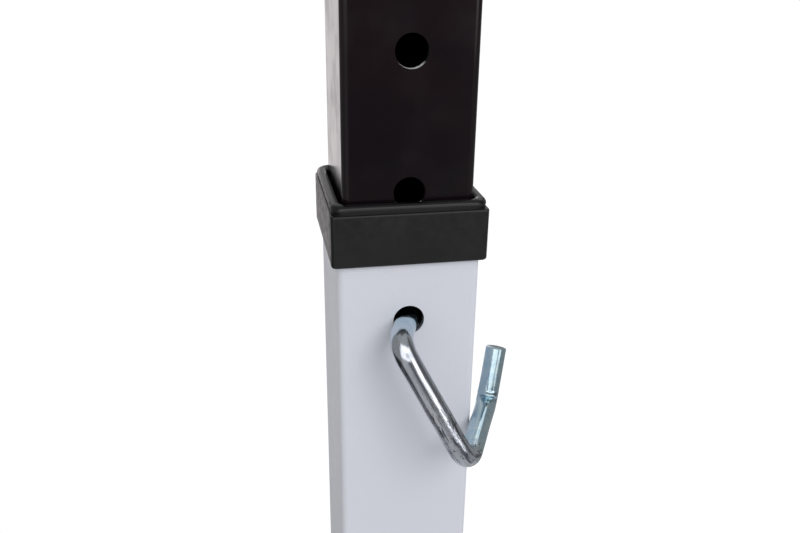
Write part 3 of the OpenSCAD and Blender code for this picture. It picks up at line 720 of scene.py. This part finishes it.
def stitch_box(shape, x0, x1, z0, z1, y, face):
    """Stitches round a box and along its two diagonals, on a face square to Y."""
    corners = [(x0, z0), (x1, z0), (x1, z1), (x0, z1)]
    lines = [(corners[i], corners[(i + 1) % 4]) for i in range(4)]
    lines += [(corners[0], corners[2]), (corners[1], corners[3])]
    for (ax, az), (bx, bz) in lines:
        size = math.hypot(bx - ax, bz - az)
        count = max(2, round(size / 0.004))
        for i in range(count):
            t0, t1 = (i + 0.15) / count, (i + 0.85) / count
            path = []
            for t, lift in ((t0, -0.0003), (t0 * 0.7 + t1 * 0.3, 0.0001), (t0 * 0.3 + t1 * 0.7, 0.0001), (t1, -0.0003)):
                path.append((ax + (bx - ax) * t, y + face * lift, az + (bz - az) * t))
            shape.tube(path, 0.0003, 4)


def make_tabs(side):
    """Webbing tabs folded round the rings and sewn on both faces of the side tape."""
    shape, sewn = Shape(), Shape()
    out = SLEEVE_R + PLY + WEB_T / 2 + 0.0001
    ring = 0.002 + 0.0003 + WEB_T / 2
    start = NET_HALF + 0.006
    for z in STRAP_Z:
        front = [(start, -0.0022 - WEB_T / 2), (start + 0.004, -0.0016 - WEB_T / 2), (SLEEVE_X - 0.016, -0.0016 - WEB_T / 2),
                 (SLEEVE_X - 0.0115, -0.0022 - WEB_T / 2)]
        over = arc(SLEEVE_X, 0, out, -135, -62, 8)
        nose = arc(RING_X[0], 0, ring, -80, 80, 10)
        mid = [((over[-1][0] + nose[0][0]) / 2, (over[-1][1] + nose[0][1]) / 2)]
        half = front + over + mid
        line = half + nose + [(x, -y) for x, y in half[::-1]]
        shape.grid(web_rows(line, z, False))
        for face in (-1, 1):
            stitch_box(sewn, start + 0.003, SLEEVE_X - 0.0165, z - 0.0095, z + 0.0095, face * (0.0017 + WEB_T), face)
    shape.make(f"{side}_ring_tabs", "net_and_masts", "net_tape", 50, (), side == "left")
    sewn.make(f"{side}_tab_stitches", "net_and_masts", "thread", 60, (), side == "left")


# ---- light ----
# The room that only gloss mirrors is a plain grey with soft panels painted over it in this order. Each has the azimuth
# of its middle, from the front and rightwards, its half width, its lowest and highest elevation and its soft edge, all
# in degrees, and its radiance
ROOM_GREY = 0.3
ROOM_PANELS = {
    "floor": (0, 180, -90, -52, 12, 0.5),
    "ceiling": (0, 180, 62, 90, 14, 0.4),
    "white backdrop": (180, 12, -38, 6, 8, (1.10, 1.04, 1.05)),
    "backdrop's top": (180, 25, 16, 45, 10, 0.6),
    "dark flag on the left": (-100, 28, -50, -30, 14, 0.03),
    "card low on the left": (-35, 12, -60, -14, 12, 0.5),
    "lit floor in front": (10, 14, -50, -28, 9, 0.5),
    "window": (-20, 26, 3, 50, 12, 1.5),
    "wall over the key light": (30, 16, 14, 40, 12, 1.4),
    "skylight": (0, 25, 38, 44, 12, 1.9),
    "bar beside the window": (0, 5, 16, 26, 8, 0.8),
    "key light": (37, 10, 0, 8, 9, 2.5),
    "gap below the lights": (6, 8, -16, -4, 6, 0.12),
    "dark flag on the right": (80, 14, -4, 46, 10, 0.13),
    "lamp on the right": (138, 5, 36, 44, 9, 1.3),
}


def make_world():
    world = bpy.data.worlds.new("studio")
    bpy.context.scene.world = world
    world.use_nodes = True
    t = Tree(world.node_tree)
    out = world.node_tree.nodes["World Output"]
    path = t.add("LightPath").outputs
    xyz = t.add("SeparateXYZ", (0, t.add("TexCoord").outputs["Generated"])).outputs
    azimuth = t.math("MULTIPLY", t.math("ARCTAN2", xyz[0], t.math("MULTIPLY", xyz[1], -1.0)), 180 / math.pi)
    elevation = t.math("MULTIPLY", t.math("ARCSINE", xyz[2]), 180 / math.pi)
    mirrored = (ROOM_GREY, ROOM_GREY, ROOM_GREY)
    for middle, half, lowest, highest, soft, radiance in ROOM_PANELS.values():
        away = t.math("ABSOLUTE", t.math("WRAP", t.math("SUBTRACT", azimuth, middle), 180, -180))
        inside = t.math("MULTIPLY", t.where(away, half + soft, half), t.where(elevation, lowest - soft, lowest))
        inside = t.math("MULTIPLY", inside, t.where(elevation, highest + soft, highest))
        mirrored = t.mix(inside, mirrored, radiance if isinstance(radiance, tuple) else (radiance,) * 3)
    ambient = t.mix(t.where(xyz[0], -0.6, 0.6), (0.51, 0.495, 0.465), (0.54, 0.575, 0.64))
    seen = t.mix(path["Is Camera Ray"], t.mix(path["Is Glossy Ray"], ambient, mirrored), (1.0, 1.0, 1.0))
    back = t.add("Background", ("Color", seen), ("Strength", 1.0))
    world.node_tree.links.new(back.outputs[0], out.inputs[0])


def make_sun(name, towards, strength, angle, colour):
    data = bpy.data.lights.new(name, "SUN")
    data.energy, data.angle, data.color = strength, math.radians(angle), colour
    lamp = bpy.data.objects.new(name, data)
    bpy.context.scene.collection.objects.link(lamp)
    lamp.rotation_mode = "QUATERNION"
    lamp.rotation_quaternion = Vector(towards).to_track_quat("-Z", "Y")
    lamp.visible_glossy = False


def make_floor():
    half = 60
    mesh = bpy.data.meshes.new("floor")
    mesh.from_pydata([(-half, -half, 0), (half, -half, 0), (half, half, 0), (-half, half, 0)], [], [(0, 1, 2, 3)])
    floor = bpy.data.objects.new("floor", mesh)
    bpy.context.scene.collection.objects.link(floor)
    mat = bpy.data.materials.new("floor")
    mat.use_nodes = True
    t = Tree(mat.node_tree)
    mat.node_tree.nodes.remove(mat.node_tree.nodes["Principled BSDF"])
    path = t.add("LightPath").outputs
    lit = t.add("BsdfDiffuse", ("Color", (0.84, 0.84, 0.84))).outputs[0]
    strength = t.math("MULTIPLY", path["Is Camera Ray"], 0.36)
    glow = t.add("Emission", ("Color", (1.0, 1.0, 1.0)), ("Strength", strength))
    both = t.add("AddShader", (0, lit), (1, glow.outputs[0])).outputs[0]
    mat.node_tree.links.new(both, mat.node_tree.nodes["Material Output"].inputs[0])
    mesh.materials.append(mat)
    floor.visible_glossy = False


# ---- the CAD parts that show ----
FINISH = {
    "white_paint": ["foot_rail", "cross_rail", "post_socket", "brace", "outer_tube"],
    "black_paint": ["mast"],
    "black_plastic": ["mast_glide", "mast_cap", "rail_caps", "buckles"],
    "dowel_rod": ["dowel"],
    "zinc_steel": ["bolts", "nuts", "strap_loops", "rings"],
    "rubber": ["rubber_feet"],
}


def dress(node, material):
    """Gives a CAD part its one material."""
    part = NODES[node]
    part.data.materials.clear()
    part.data.materials.append(MATERIALS[material])


make_camera()
make_world()
make_sun("key", (-0.35, 0.80, -0.62), 1.35, 38, (1.0, 0.985, 0.97))
make_sun("fill", (0.75, 0.55, -0.40), 0.25, 60, (0.95, 0.97, 1.0))
make_floor()
for material, names in FINISH.items():
    for name in names:
        for side in SIDES:
            dress(f"{side}_{name}", material)
for side in SIDES:
    make_collar(side)
    make_pin(side)
    make_side_band(side)
    make_tabs(side)
    make_straps(side)
make_net(random.Random(3))
for name, base_z, height, up, seed in (("top_tape", NET_HIGH, NET_TOP - NET_HIGH, 1, 7),
                                       ("bottom_tape", NET_LOW, NET_LOW - NET_BOTTOM, -1, 8)):
    tape, ripple = make_tape(name, base_z, height, up, random.Random(seed))
    thread = make_stitches(name + "_stitches", ripple, base_z, height, up)

bpy.context.scene.view_settings.view_transform = "Standard"
